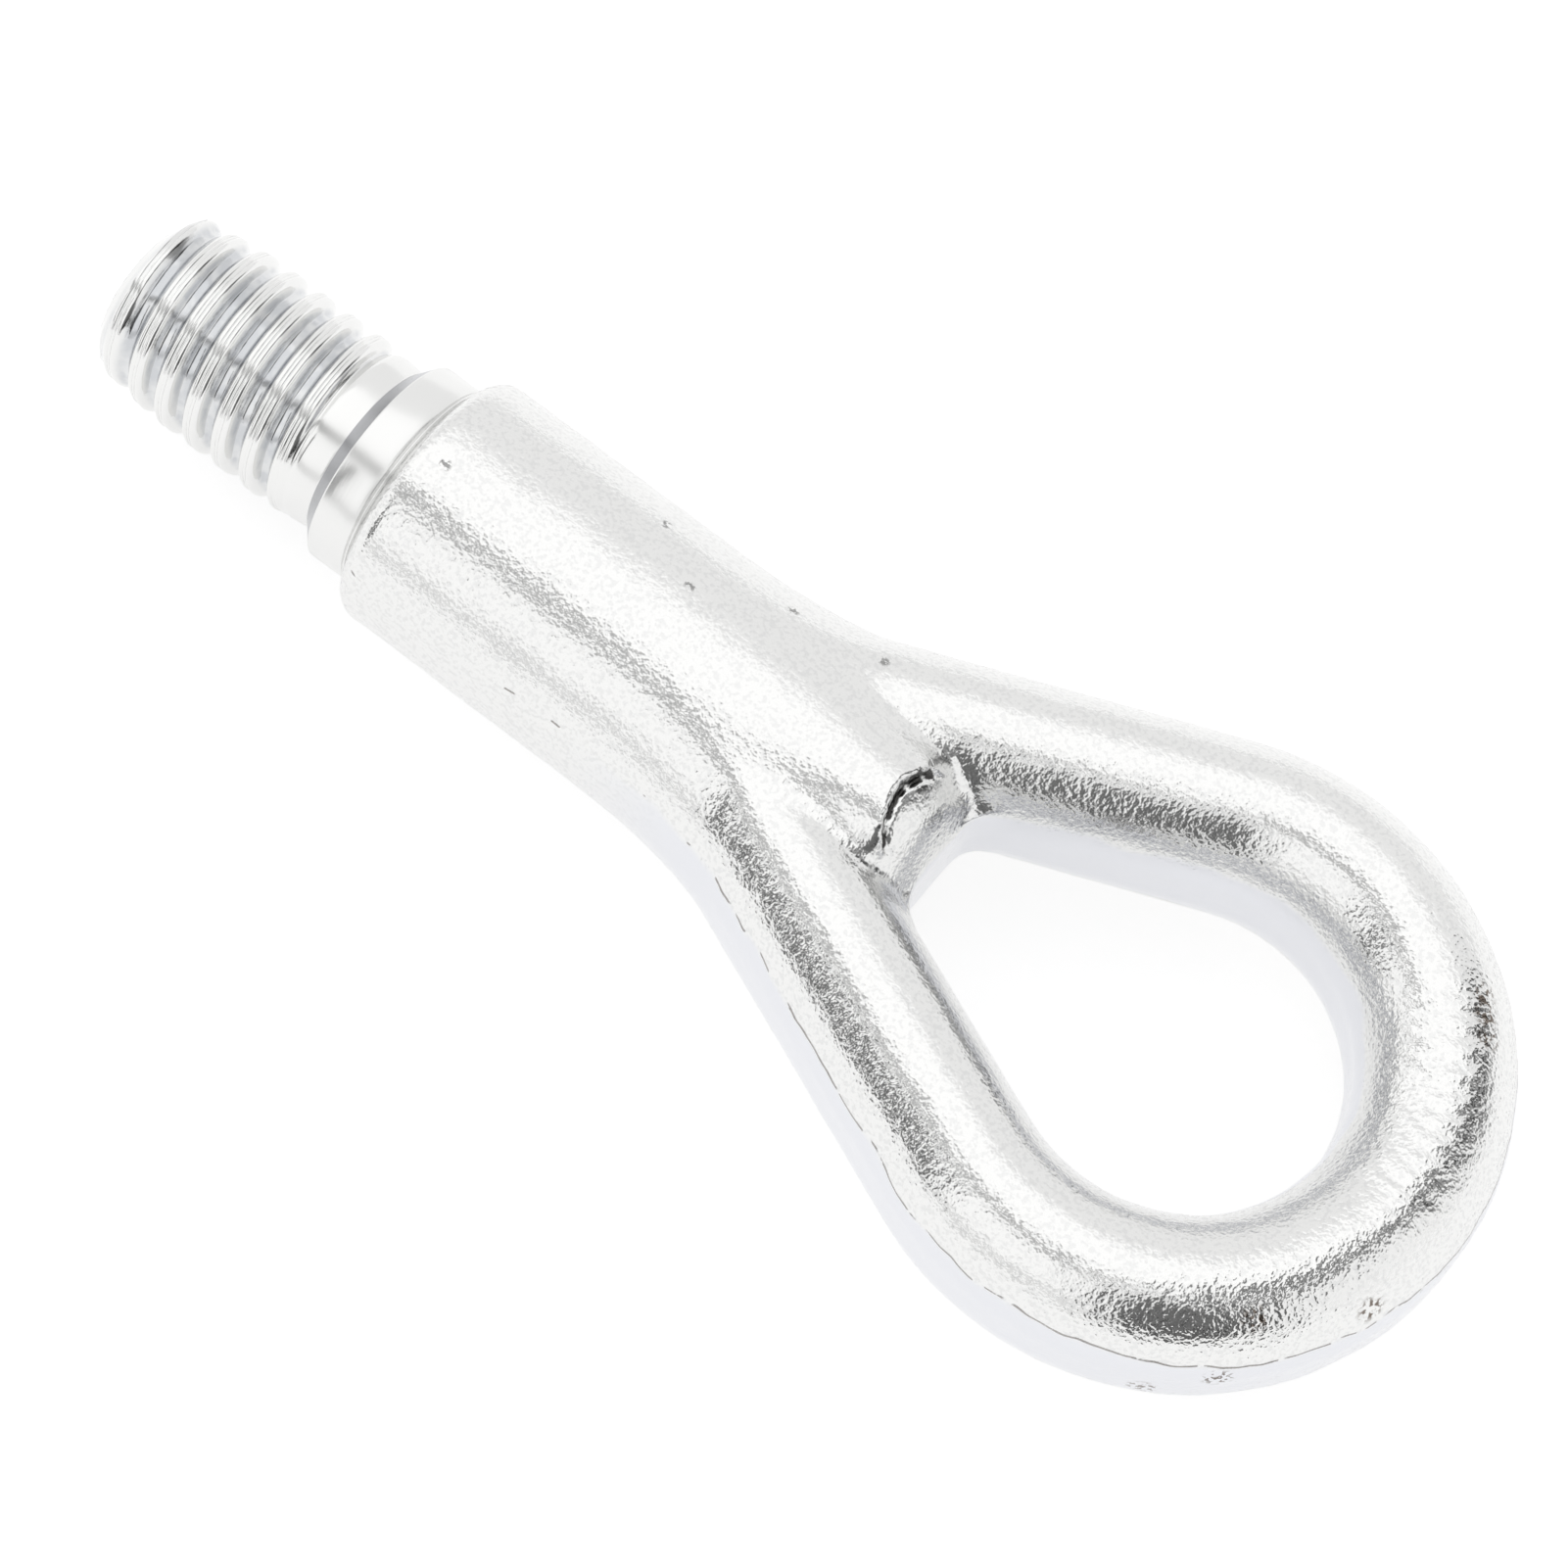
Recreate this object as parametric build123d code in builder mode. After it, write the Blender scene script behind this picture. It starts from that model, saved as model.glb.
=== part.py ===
"""Forged steel tow eye with a coarse rolled thread.

One piece, drop forged from bar. The stud screws into the bumper beam, a turned pilot
collar centres it, the round shank forks into two legs, and the legs close into a
teardrop eye.

Frame, in millimetres: the origin is the centre of the shoulder, where the pilot collar
meets the shank. X runs along the stud and shank, with the thread tip towards -X and the
eye towards +X. The eye lies in the XY plane, which is also the parting plane of the
forging dies. Z is up.
"""

from build123d import *

import os
from math import atan2, cos, degrees, radians, sin, sqrt, tan

# Rolled thread, right-handed, with rounded ridges that fade in from the tip
thread_diameter = 18.0
thread_pitch = 3.2
thread_depth = 1.3
crest_width = 0.6
crest_bevel = 0.45
crest_drop = 0.25
root_width = 1.2
lead_in = 4.0
lead_drop = 1.1
stud_length = 31.0
tip_diameter = 13.4

# Neck and pilot collar, both turned
neck_diameter = 16.8
neck_length = 2.0
collar_diameter = 20.4
collar_length = 4.2
collar_cone = 1.5

# Round shank
shank_diameter = 25.0
shoulder_radius = 2.0

# Teardrop eye, measured on the centre line of the bent bar
eye_distance = 82.6
eye_radius = 22.0
leg_angle = 23.0

# Section of the bar: an oval, higher than wide, with a flat trim land on each side
bar_width = 14.2
bar_height = 20.0
land_height = 4.4

# Fork, where the shank spreads into the legs, its crown rolls over and a crease marks its end
flare_radius = 55.0
fork_sink = 0.2
crown_height = 11.5
crease_radius = 6.4
crease_depth = 1.2

# Web that closes the fork: it bulges and slopes down to the blunt end of the hole
hole_end_width = 6.4
hole_corner = 3.2
web_run = 4.2
web_shelf = 10.0
web_edge = 4.4
web_bulge = 1.2
web_lip = 0.5
web_bite = 0.15

# Sizes that follow from those above
thread_radius = thread_diameter / 2
root_radius = thread_radius - thread_depth
neck_radius = neck_diameter / 2
collar_radius = collar_diameter / 2
shank_radius = shank_diameter / 2
cone_base = collar_length + collar_cone
thread_end = cone_base + neck_length
leg_slope = radians(leg_angle)
outer_radius = eye_radius + bar_width / 2
inner_radius = eye_radius - bar_width / 2


def leg_x(y, from_centre):
    """X at height y of the line that runs beside the upper leg, from_centre off the eye's centre."""
    return eye_distance + (y * cos(leg_slope) - from_centre) / sin(leg_slope)


def leg_y(x, from_centre):
    """Y of the same line at x."""
    return (from_centre + (x - eye_distance) * sin(leg_slope)) / cos(leg_slope)


# Seen from above, an arc rounds the corner between the shank's side and the leg
flare_start = leg_x(shank_radius, outer_radius) - flare_radius * tan(leg_slope / 2)
flare_end = flare_start + flare_radius * sin(leg_slope)
leg_start = flare_start + bar_width / 2
leg_normal = Vector(-sin(leg_slope), cos(leg_slope))

# Two corners round the blunt end of the hole, each pressed a little into its leg
corner_y = hole_end_width / 2
corner_x = leg_x(corner_y + (hole_corner - web_bite) / cos(leg_slope), inner_radius)
corner_touch = Vector(corner_x, corner_y) + leg_normal * hole_corner
hole_start = corner_x - hole_corner

# The crown stops a little before the hole
crown_end = hole_start - web_run
crown_run = crown_end - flare_start
roll_run = web_run - web_lip


def fork_half_width(x):
    """Half the width of the fork, seen from above, at x: the flare's arc, then the leg's line."""
    if x < flare_end:
        return shank_radius + flare_radius - sqrt(flare_radius**2 - (x - flare_start) ** 2)
    return leg_y(x, outer_radius)


# Thread ridge: whole turns at full height, then a lead-in that sinks towards the tip
ridge_foot = (thread_pitch - root_width) / 2
ridge_start = -thread_end - ridge_foot
ridge_run = stud_length - thread_end - 2 * ridge_foot
full_turns = int((ridge_run - lead_in) / thread_pitch)
full_run = full_turns * thread_pitch
lead_run = ridge_run - full_run
lead_angle = degrees(atan2(lead_drop, lead_run))
with BuildPart() as ridge:
    for start, run, cone in (
        (ridge_start, full_run, 0),
        (ridge_start - full_run, lead_run, -lead_angle),
    ):
        with BuildLine() as winding:
            Helix(
                pitch=thread_pitch,
                height=run,
                radius=thread_radius,
                center=(start, 0, 0),
                direction=(-1, 0, 0),
                cone_angle=cone,
            )
        across = Plane(
            origin=winding.line @ 0, x_dir=(-1, 0, 0), z_dir=winding.line % 0
        )
        with BuildSketch(across):
            with BuildLine():
                Polyline(
                    (0, 0),
                    (crest_width / 2, 0),
                    (crest_width / 2 + crest_bevel, -crest_drop),
                    (ridge_foot, -thread_depth),
                    (ridge_foot, -2 * thread_depth),
                    (0, -2 * thread_depth),
                )
                mirror(about=Plane.YZ)
            make_face()
        sweep(path=winding.line, is_frenet=True)

# Stud, neck, collar and shank in one revolved outline
with BuildPart() as turned:
    with BuildSketch(Plane.XZ):
        with BuildLine():
            Polyline(
                (flare_start, 0),
                (-stud_length, 0),
                (-stud_length, tip_diameter / 2),
                (-stud_length + root_radius - tip_diameter / 2, root_radius),
                (-thread_end - neck_radius + root_radius, root_radius),
                (-thread_end, neck_radius),
                (-cone_base, neck_radius),
                (-collar_length, collar_radius),
                (0, collar_radius),
                (0, shank_radius - shoulder_radius),
            )
            RadiusArc(
                (0, shank_radius - shoulder_radius),
                (shoulder_radius, shank_radius),
                shoulder_radius,
            )
            Polyline(
                (shoulder_radius, shank_radius),
                (flare_start, shank_radius),
                (flare_start, 0),
            )
        make_face()
    revolve(axis=Axis.X)
    add(ridge.part)

# Fork: oval sections that widen from the round shank and sink a little into the legs
with BuildPart() as fork:
    for part_way in (0, 0.25, 0.5, 0.8, 1):
        x = flare_start + part_way * crown_run
        with BuildSketch(Plane.YZ.offset(x)):
            Ellipse(
                fork_half_width(x) - part_way * fork_sink,
                shank_radius + part_way * (crown_height - shank_radius),
            )
    loft()

    # Past its end the crown rolls over, down to the web between the legs
    for part_way in (0, 0.4, 0.75, 1):
        x = crown_end + part_way * roll_run
        with BuildSketch(Plane.YZ.offset(x)):
            Ellipse(
                fork_half_width(x) - fork_sink,
                crown_height + part_way**1.5 * (web_edge - crown_height),
            )
    loft()

    # A hollow crease marks the crown's end, above and below
    with BuildSketch(Plane.XY.offset(-shank_radius)):
        with Locations((crown_end - crease_depth + crease_radius, 0)):
            Circle(crease_radius)
    extrude(amount=shank_diameter, mode=Mode.SUBTRACT)

# Web between the legs, cut in plan to the blunt end of the hole and then to its slope
with BuildPart() as web:
    with BuildSketch(Plane.XY.offset(-shank_radius)):
        with BuildLine():
            Polyline(
                (leg_start, 0),
                (leg_start, leg_y(leg_start, eye_radius)),
                corner_touch + leg_normal * (bar_width / 2 - web_bite),
                corner_touch,
            )
            CenterArc((corner_x, corner_y), hole_corner, 180, leg_angle - 90)
            Line((hole_start, corner_y), (hole_start, 0))
            mirror(about=Plane.XZ)
        make_face()
    extrude(amount=shank_diameter)

    with BuildSketch(Plane.XZ):
        with BuildLine():
            Polyline(
                (leg_start, 0),
                (leg_start, web_shelf),
                (crown_end - crease_depth, web_shelf),
            )
            SagittaArc(
                (crown_end - crease_depth, web_shelf),
                (hole_start, web_edge),
                web_bulge,
            )
            Polyline(
                (hole_start, web_edge),
                (hole_start + bar_width, web_edge),
                (hole_start + bar_width, 0),
            )
            mirror(about=Plane.XZ)
        make_face()
    extrude(amount=shank_diameter, both=True, mode=Mode.INTERSECT)

# Half the eye: one leg and half of the ring, swept with the flattened oval
with BuildPart() as half_eye:
    with BuildLine() as bar_line:
        tangent = Vector(eye_distance, 0) + leg_normal * eye_radius
        Line((leg_start, leg_y(leg_start, eye_radius)), tangent)
        CenterArc((eye_distance, 0), eye_radius, 90 + leg_angle, -90 - leg_angle)
    bar_plane = Plane(
        origin=bar_line.line @ 0, x_dir=leg_normal, z_dir=(cos(leg_slope), sin(leg_slope), 0)
    )
    with BuildSketch(bar_plane):
        Ellipse(bar_width / 2 / sqrt(1 - (land_height / bar_height) ** 2), bar_height / 2)
        Rectangle(bar_width, bar_height, mode=Mode.INTERSECT)
    sweep(path=bar_line.line)

with BuildPart() as tow_eye:
    add(turned.part)
    add(fork.part)
    add(web.part)
    add(half_eye.part)
    add(half_eye.part.mirror(Plane.XZ))

tow_eye.part.label = "tow_eye"
os.makedirs("parts", exist_ok=True)
export_step(tow_eye.part, "parts/tow_eye.step")
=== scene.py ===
# %% [markdown]
# # A forged tow eye
#
# A tow eye is kept in the boot of a car and screwed into the bumper beam when the car has
# to be pulled. This one is a single drop forging: a coarse rolled thread, a turned pilot
# collar, a round shank and a teardrop eye, all under one bright coat of zinc. The lesson
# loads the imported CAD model, which fixes every size, and then gives it the skin of the
# real thing. Every length is written in millimetres in the CAD model's own frame and
# multiplied by MM where Blender takes it: the origin is the shoulder behind the collar, X
# runs towards the eye and Z is up.

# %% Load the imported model
from math import atan2, cos, exp, hypot, pi, radians, sin, sqrt

import bmesh
import bpy
from mathutils import Matrix, Vector, noise


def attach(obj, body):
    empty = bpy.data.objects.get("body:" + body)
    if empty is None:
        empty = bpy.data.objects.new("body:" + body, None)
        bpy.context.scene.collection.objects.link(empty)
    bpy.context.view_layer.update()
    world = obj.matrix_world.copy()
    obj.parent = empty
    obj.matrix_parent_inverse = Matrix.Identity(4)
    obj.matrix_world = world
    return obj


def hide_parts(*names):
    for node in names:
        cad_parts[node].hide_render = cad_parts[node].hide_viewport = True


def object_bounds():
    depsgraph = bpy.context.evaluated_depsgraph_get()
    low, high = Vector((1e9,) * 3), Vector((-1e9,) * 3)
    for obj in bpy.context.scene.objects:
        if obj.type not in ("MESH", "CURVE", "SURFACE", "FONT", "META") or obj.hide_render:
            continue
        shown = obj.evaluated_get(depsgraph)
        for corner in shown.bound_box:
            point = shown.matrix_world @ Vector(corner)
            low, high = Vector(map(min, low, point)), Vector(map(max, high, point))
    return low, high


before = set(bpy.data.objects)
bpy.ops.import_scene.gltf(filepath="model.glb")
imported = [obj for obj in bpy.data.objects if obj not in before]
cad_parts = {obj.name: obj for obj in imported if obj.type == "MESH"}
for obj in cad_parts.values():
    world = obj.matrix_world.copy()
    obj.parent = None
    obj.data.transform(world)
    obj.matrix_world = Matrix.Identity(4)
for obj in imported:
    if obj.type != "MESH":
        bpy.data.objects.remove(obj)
cad_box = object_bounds()
MM = 0.001
print("CAD box, mm:", [[round(v / MM, 2) for v in corner] for corner in cad_box])

# %% [markdown]
# ## The camera
#
# The photographer looked down on the part from the eye's side, with a long lens, so the
# far end hardly shrinks. The aim, distance and lens below were solved by laying the part's
# own outline over the photograph. A Track To constraint would aim the camera, but it keeps
# the picture level. This camera is also rolled a little about its own axis, so its three
# axes are worked out here one by one.

# %% Camera
PHOTO_PIXELS = 1601
LENS_PIXELS = 4711
SENSOR_MM = 36
aim = Vector((41.55, -1.60, 0)) * MM
azimuth, elevation, roll = radians(22.52), radians(66.01), radians(16.01)
distance = 398.5 * MM

back = Vector((sin(azimuth) * cos(elevation), -cos(azimuth) * cos(elevation), sin(elevation)))
level_right = Vector((0, 0, 1)).cross(back).normalized()
level_up = back.cross(level_right)
right = cos(roll) * level_right + sin(roll) * level_up
up = cos(roll) * level_up - sin(roll) * level_right

camera = bpy.data.objects.new("camera", bpy.data.cameras.new("camera"))
turn = Matrix((right, up, back)).transposed().to_4x4()
camera.matrix_world = Matrix.Translation(aim + back * distance) @ turn
camera.data.sensor_width = SENSOR_MM
camera.data.lens = LENS_PIXELS / PHOTO_PIXELS * SENSOR_MM
camera.data.clip_start = 10 * MM
camera.data.clip_end = 5000 * MM
bpy.context.scene.collection.objects.link(camera)
bpy.context.scene.camera = camera
print("lens, mm:", round(camera.data.lens, 1))

# %% [markdown]
# ## The stud
#
# The thread isn't cut but rolled between two dies, which push the steel up from both sides
# of each ridge. The two lips meet on the crest and leave a fine double seam there. Bump on
# a plain cylinder would leave the outline smooth, and a Screw modifier gives no hold on
# both ends. So the ridge is drawn as one open profile, exactly one pitch wide.

# %% One pitch of the thread, as a profile
PITCH = 3.2
CREST_RADIUS = 9.0
ROOT_RADIUS = 7.7
# Half a ridge: places along the axis and radii, from the seam on its crest to mid-root
half_ridge = [
    (0.00, 8.95), (0.10, 8.95), (0.15, 8.87), (0.20, 8.95), (0.28, 8.99), (0.40, CREST_RADIUS),
    (0.54, 8.95), (0.67, 8.83), (0.79, 8.62), (0.89, 8.36), (0.99, 8.10), (1.09, 7.90),
    (1.20, 7.78), (1.32, 7.72), (1.45, ROOT_RADIUS), (PITCH / 2, ROOT_RADIUS),
]
ridge = [(-x, r) for x, r in reversed(half_ridge)] + half_ridge[1:]


def draw_profile(bm, points):
    """Edges from point to point. Each point is a place along the axis and a radius, in mm."""
    verts = [bm.verts.new((x * MM, r * MM, 0)) for x, r in points]
    for pair in zip(verts, verts[1:]):
        bm.edges.new(pair)


print("points in a ridge's profile:", len(ridge))

# %% [markdown]
# A spin that also slides along its axis is a screw. Since the profile is one pitch wide and
# the slide is one pitch a turn, every turn closes against the last one, and merging the
# doubles makes a single skin of all nine turns.

# %% Spin the profile into a right-handed screw
STEPS_PER_TURN = 72
TURNS = 9
STUD_LENGTH = 31.0
THREAD_END = 7.7
START_TURN = 0.56
SEAM_GAP = 0.005
stud = bmesh.new()
draw_profile(stud, ridge)
first_place = Matrix.Translation((-(THREAD_END - PITCH / 2) * MM, 0, 0))
first_turn = Matrix.Rotation(START_TURN * 2 * pi, 4, "X")
bmesh.ops.transform(stud, matrix=first_place @ first_turn, verts=stud.verts[:])
bmesh.ops.spin(
    stud, geom=stud.verts[:] + stud.edges[:], cent=(0, 0, 0), axis=(-1, 0, 0),
    dvec=(-PITCH / STEPS_PER_TURN * MM, 0, 0), angle=2 * pi * TURNS,
    steps=STEPS_PER_TURN * TURNS, use_merge=False,
)
bmesh.ops.remove_doubles(stud, verts=stud.verts[:], dist=SEAM_GAP * MM)
print("screw: vertices", len(stud.verts), "faces", len(stud.faces))

# %% [markdown]
# Both ends of a rolled thread fade. At the neck the ridge sinks into a plain groove within
# two thirds of a turn, and at the tip the crests were rolled on a cone, because the bar
# was pointed first. A boolean would cut these ends off sharply. Here each vertex keeps its
# place along the axis and only its radius changes. Noise of a few hundredths of a
# millimetre gives the wandering edge of rolled metal.

# %% Radius of the thread at any place
NECK_RADIUS = 8.65
TIP_RADIUS = 6.7
TIP_EDGE = 0.1
CHAMFER_SLOPE = 1.25
TAPER_RUN = 8.5
TAPER_DROP = 0.75
FADE_STARTS = THREAD_END + 0.5
FADE_ENDS = THREAD_END + 2.5
# How far rolled metal strays from the true screw, in broad and fine waves and at the chamfer
BROAD_STRAY, FINE_STRAY, CHAMFER_STRAY = 0.03, 0.02, 0.12


def part_way(value, start, run):
    """Share of a run that value has covered, from 0 at its start to 1 at its end."""
    return min(1, max(0, (value - start) / run))


def smoothstep(low, high, value):
    """0 below low and 1 above high, with a soft start and a soft end between them."""
    t = part_way(value, low, high - low)
    return t * t * (3 - 2 * t)


def thread_radius(x, radius, angle):
    """Radius at x mm from the shoulder, once the ends have faded and the rolls wandered."""
    from_tip = STUD_LENGTH + x
    around = Vector((x * 0.5, cos(angle) * 3, sin(angle) * 3))
    radius += BROAD_STRAY * noise.noise(around) + FINE_STRAY * noise.noise(around * 4)
    crest = CREST_RADIUS - TAPER_DROP * (1 - smoothstep(0, TAPER_RUN, from_tip))
    radius -= (CREST_RADIUS - crest) * smoothstep(ROOT_RADIUS, CREST_RADIUS, radius)
    chamfer = TIP_RADIUS + TIP_EDGE + CHAMFER_SLOPE * from_tip
    radius = min(radius, chamfer + CHAMFER_STRAY * noise.noise(around * 1.5))
    settled = smoothstep(FADE_STARTS, FADE_ENDS, -x)
    return NECK_RADIUS + (radius - NECK_RADIUS) * settled


print("the ridge sinks between x", -FADE_ENDS, "and", -FADE_STARTS)

# %% Fade the thread and trim both ends
ON_PLANE = 0.0001 * MM
for vert in stud.verts:
    angle = atan2(vert.co.z, vert.co.y)
    radius = thread_radius(vert.co.x / MM, vert.co.yz.length / MM, angle) * MM
    vert.co.y = radius * cos(angle)
    vert.co.z = radius * sin(angle)
bmesh.ops.bisect_plane(
    stud, geom=stud.verts[:] + stud.edges[:] + stud.faces[:], dist=ON_PLANE,
    plane_co=(-THREAD_END * MM, 0, 0), plane_no=(1, 0, 0), clear_outer=True,
)
tip_cut = bmesh.ops.bisect_plane(
    stud, geom=stud.verts[:] + stud.edges[:] + stud.faces[:], dist=ON_PLANE,
    plane_co=(-STUD_LENGTH * MM, 0, 0), plane_no=(-1, 0, 0), clear_outer=True,
)
print("trimmed screw: vertices", len(stud.verts))

# %% [markdown]
# A sheared and rolled bar end is dished a little, because the dies drag the outside of the
# bar further than its core. The open rim is extruded inwards ring by ring, and the last
# small ring is filled.

# %% Close the tip with a slightly dished face
# Each ring's distance from the edge, and how deep it lies
TIP_RINGS = ((0.5, 0.05), (1.2, 0.0), (2.6, 0.35), (4.6, 0.55))
rim = [e for e in tip_cut["geom_cut"] if isinstance(e, bmesh.types.BMEdge)]
for inset, depth in TIP_RINGS:
    grown = bmesh.ops.extrude_edge_only(stud, edges=rim)["geom"]
    rim = [e for e in grown if isinstance(e, bmesh.types.BMEdge) and e.is_boundary]
    for vert in {v for e in rim for v in e.verts}:
        vert.co.yz *= (TIP_RADIUS - inset) * MM / vert.co.yz.length
        vert.co.x = (-STUD_LENGTH + depth) * MM
bmesh.ops.holes_fill(stud, edges=rim, sides=0)
print("with its tip: faces", len(stud.faces))

# %% [markdown]
# The neck, the cone and the collar were turned on a lathe, so they are one profile spun
# once round, which is what a lathe does. The neck tapers a little, the cone has crisp
# edges, and the tool left a fine undercut where the collar meets the forging.

# %% Neck, cone and collar
COLLAR_RADIUS = 10.2
LATHE_STEPS = 144
neck_profile = [
    (-THREAD_END - 0.05, NECK_RADIUS), (-7.0, NECK_RADIUS - 0.08), (-6.1, NECK_RADIUS - 0.22),
    (-5.98, NECK_RADIUS - 0.23),
]
cone_profile = [
    (-5.90, NECK_RADIUS - 0.17), (-4.58, COLLAR_RADIUS - 0.16), (-4.48, COLLAR_RADIUS - 0.05),
]
collar_profile = [(-4.36, COLLAR_RADIUS), (-2.0, COLLAR_RADIUS), (-0.80, COLLAR_RADIUS)]
undercut_profile = [
    (-0.70, COLLAR_RADIUS - 0.08), (-0.62, COLLAR_RADIUS - 0.22), (-0.45, COLLAR_RADIUS - 0.22),
    (-0.36, COLLAR_RADIUS - 0.06), (-0.24, COLLAR_RADIUS + 0.02),
]
# These last two points run on inside the forging, so no gap shows behind the collar
hidden_profile = [(-0.05, COLLAR_RADIUS + 0.35), (0.4, COLLAR_RADIUS + 0.7)]

lathe = bmesh.new()
turned_profile = neck_profile + cone_profile + collar_profile + undercut_profile
draw_profile(lathe, turned_profile + hidden_profile)
bmesh.ops.spin(
    lathe, geom=lathe.verts[:] + lathe.edges[:], cent=(0, 0, 0), axis=(1, 0, 0),
    angle=2 * pi, steps=LATHE_STEPS, use_merge=True,
)
print("collar: faces", len(lathe.faces))

# %% [markdown]
# ## The forging
#
# The shank, the fork and the eye were struck in one pair of dies, so nothing on them is
# sharp: each inner corner is filled by a radius that the hot steel could flow round. Bevels
# would need clean edges to follow, and the fork has none. So a copy of the CAD solid, which
# has the right sizes, is cut off at the collar and reworked as a skin.

# %% Copy the CAD solid and cut off its stud
CUT_X = -0.4
SAME_POINT = 0.001
solid = bmesh.new()
solid.from_mesh(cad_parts["tow_eye"].data)
bmesh.ops.remove_doubles(solid, verts=solid.verts[:], dist=SAME_POINT * MM)
bmesh.ops.bisect_plane(
    solid, geom=solid.verts[:] + solid.edges[:] + solid.faces[:], dist=ON_PLANE,
    plane_co=(CUT_X * MM, 0, 0), plane_no=(-1, 0, 0), clear_outer=True,
)
bmesh.ops.holes_fill(solid, edges=[e for e in solid.edges if e.is_boundary], sides=0)
print("solid: faces", len(solid.faces), "open edges", sum(e.is_boundary for e in solid.edges))

# %% [markdown]
# The copy has long thin triangles, which can't be smoothed. A voxel remesh lays a grid of
# even quads of half a millimetre over it, as fine as the limit on triangles allows.

# %% Remesh it into even quads
VOXEL = 0.49


def to_mesh(bm, name):
    """Turns a bmesh into a mesh and frees the bmesh."""
    mesh = bpy.data.meshes.new(name)
    bm.to_mesh(mesh)
    bm.free()
    return mesh


rough = bpy.data.objects.new("rough_forging", to_mesh(solid, "rough_forging"))
bpy.context.scene.collection.objects.link(rough)
remesh = rough.modifiers.new("even_quads", "REMESH")
remesh.mode = "VOXEL"
remesh.voxel_size = VOXEL * MM
evaluated = rough.evaluated_get(bpy.context.evaluated_depsgraph_get())
forging = bmesh.new()
forging.from_mesh(evaluated.to_mesh())
evaluated.to_mesh_clear()
bpy.data.objects.remove(rough)
print("forging: vertices", len(forging.verts), "faces", len(forging.faces))

# %% [markdown]
# Two measures place the details of the fork and the eye. One tells how far a point lies
# past the crease, an arc that ends the crown. The other tells how far it lies off the
# centre line of the bent bar, which is two straight legs and a ring.

# %% Measures from the crease and from the bar
EYE_X = 82.6
BAR_RADIUS = 22.0
LEG_SLOPE = radians(23)
CREASE_X = 51.21
CREASE_RADIUS = 6.4
CREASE_CENTRE = CREASE_X + CREASE_RADIUS


def past_crease(x, y):
    """How far a point lies inside the crease's arc, seen from above, in mm."""
    return CREASE_RADIUS - hypot(x - CREASE_CENTRE, y)


def off_bar(x, y):
    """Distance outwards from the centre line of the bent bar, seen from above, in mm."""
    ahead, aside = x - EYE_X, abs(y)
    if ahead * cos(LEG_SLOPE) + aside * sin(LEG_SLOPE) > 0:
        return hypot(ahead, aside) - BAR_RADIUS
    return aside * cos(LEG_SLOPE) - ahead * sin(LEG_SLOPE) - BAR_RADIUS


print("the eye's outer edge, mm off the bar:", round(off_bar(cad_box[1].x / MM, 0), 2))

# %% [markdown]
# The crown stays as round as the shank right up to the crease that ends it, the web past
# the crease bulges too, and each leg is a ridge of its own, so a shallow valley runs down
# either side of crown and web. Sculpting by hand could press the valleys in, but a script
# can only do it by rule. The heights of these shapes are worked out, and where the skin
# stands above the tallest it is pressed down to it. A smooth maximum rounds the floor of
# the valley.

# %% Height of the crown, the web and the legs
SHANK_RADIUS = 12.5
CROWN_START, CROWN_RUN = 26.4, 26
CROWN_NARROWS = (38, 51.5)
CROWN_END_HALF_WIDTH = 8.5
CREASE_ENDS_ALONG, CREASE_ENDS_ASIDE = (51.5, 53.5), (4.2, 5.0)
WEB_START, WEB_RUN = 51.2, 5.4
WEB_HEIGHT, WEB_DROP = 10, 5.6
LEG_HEIGHT, LEG_HALF_WIDTH = 10, 7.28


def oval(across, half_width, height):
    """Height of an oval section at a distance across it."""
    return height * sqrt(max(0, 1 - (across / half_width) ** 2))


def valley_height(x, y):
    """Height of the crown, the web or the leg, whichever is tallest, with rounded valleys."""
    # The crown is over inside the crease's arc, and past both ends of that arc
    past_end = smoothstep(*CREASE_ENDS_ALONG, x) * smoothstep(*CREASE_ENDS_ASIDE, abs(y))
    if past_crease(x, y) > 0:
        past_end = 1
    height = SHANK_RADIUS - part_way(x, CROWN_START, CROWN_RUN)
    web = WEB_HEIGHT - WEB_DROP * part_way(x, WEB_START, WEB_RUN) ** 2
    height += (web - height) * past_end
    half_width = height + (CROWN_END_HALF_WIDTH - height) * smoothstep(*CROWN_NARROWS, x)
    crown = oval(y, half_width, height)
    leg = oval(off_bar(x, y), LEG_HALF_WIDTH, LEG_HEIGHT)
    return max(crown, leg) + max(0, 1 - abs(crown - leg)) ** 2 / 4


print("valley floor beside the crown, mm:", round(valley_height(48, 7), 2))

# %% Press a valley down each side of the crown
VALLEY_STARTS, VALLEY_ENDS = (26, 32), (56, 60)
OUTER_SIDE = (0, 3)
SIDE_HEIGHT = 5
pressed = 0
for vert in forging.verts:
    x, y, z = vert.co / MM
    # Along the fork and the web only, and not on the outer sides of the legs
    share = smoothstep(*VALLEY_STARTS, x) * (1 - smoothstep(*VALLEY_ENDS, x))
    share *= 1 - smoothstep(*OUTER_SIDE, off_bar(x, y))
    depth = share * max(0, abs(z) - valley_height(x, y)) * (abs(z) > SIDE_HEIGHT)
    vert.co.z -= depth * (1 if z > 0 else -1) * MM
    pressed = max(pressed, depth)
print("deepest press, mm:", round(pressed, 2))

# %% [markdown]
# The skin relaxes most in the fork, where the crown runs out into the two legs. The crease
# at the crown's end stays crisp: there the steel folded over itself in the die. A Smooth
# modifier would treat both alike, so each vertex is smoothed here as many times as its own
# softness asks for.

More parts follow.
